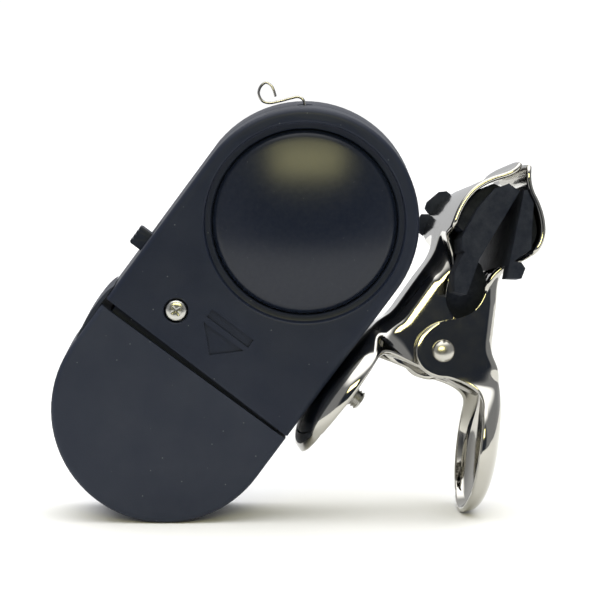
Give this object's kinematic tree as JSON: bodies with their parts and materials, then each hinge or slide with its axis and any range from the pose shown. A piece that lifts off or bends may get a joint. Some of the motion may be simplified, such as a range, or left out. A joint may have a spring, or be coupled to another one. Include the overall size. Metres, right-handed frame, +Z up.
{
  "type": "clip-on fishing bite alarm",
  "caption": "Battery-powered fishing bite alarm: a flat round-ended housing with a sounder dome and a line trigger wire, on a sprung steel rod clamp with rubber jaws.",
  "frame": {"origin": "middle of the object's box in x and y, on the ground that the battery door and the clamp's lever stand on", "axes": "+X towards the clamp, +Y from the dome's face to the flat back face, +Z up as the alarm stands"},
  "size_m": [0.0738, 0.0332, 0.0658],
  "materials": {
    "housing_plastic": "satin navy black, finely grained",
    "door_plastic": "satin black, a little greyer and finely grained",
    "dome_plastic": "glossy black",
    "nickel": "bright nickel plate",
    "steel": "bright zinc plate",
    "rubber": "dull black",
    "brass": "plain",
    "board": "green solder resist"
  },
  "bodies": {
    "housing": {"front_shell": "housing_plastic", "back_shell": "housing_plastic", "speaker_dome": "dome_plastic", "sounder": "dome_plastic", "circuit_board": "board", "sound_chip": "dome_plastic", "case_screw": "steel", "switch_body": "steel", "trigger_post": "brass", "contact_ring": "brass", "battery_cell_1": "steel", "battery_cell_2": "steel", "battery_cell_3": "steel", "battery_contact": "brass", "battery_spring": "steel", "mount_screw": "steel", "flat_washer": "steel", "spring_washer": "steel", "mount_nut": "steel"},
    "battery_door": {"battery_door": "door_plastic"},
    "switch_knob": {"switch_knob": "housing_plastic"},
    "trigger_wire": {"trigger_wire": "steel"},
    "clamp_base": {"clamp_base_half": "nickel", "pivot_pin": "steel", "torsion_spring": "steel", "jaw_pad_base": "rubber"},
    "clamp_lever": {"clamp_lever_half": "nickel", "jaw_pad_lever": "rubber"}
  },
  "joints": [
    {"name": "clamp_swivel", "type": "hinge", "parent": "housing", "child": "clamp_base", "pos_m": [0.00422, -0.0052, 0.02102], "axis": [-0.8039, 0, 0.5948], "range_deg": [-102, 78]},
    {"name": "clamp_open", "type": "hinge", "parent": "clamp_base", "child": "clamp_lever", "pos_m": [0.02091, -0.00251, 0.02438], "axis": [-0.1237, 0.9781, -0.1671], "range_deg": [0, 38], "stiffness_Nm_per_rad": 0.25, "springref_deg": -57.3},
    {"name": "battery_door_slide", "type": "slide", "parent": "housing", "child": "battery_door", "axis": [-0.5948, 0, -0.8039], "range_m": [0, 0.025]},
    {"name": "power_switch_slide", "type": "slide", "parent": "housing", "child": "switch_knob", "axis": [0.5948, 0, 0.8039], "range_m": [0, 0.002]},
    {"name": "trigger_wire_swing", "type": "hinge", "parent": "housing", "child": "trigger_wire", "pos_m": [0.00103, -0.0057, 0.05028], "axis": [0, 1, 0], "range_deg": [-3.4, 3.4], "stiffness_Nm_per_rad": 0.002}
  ]
}
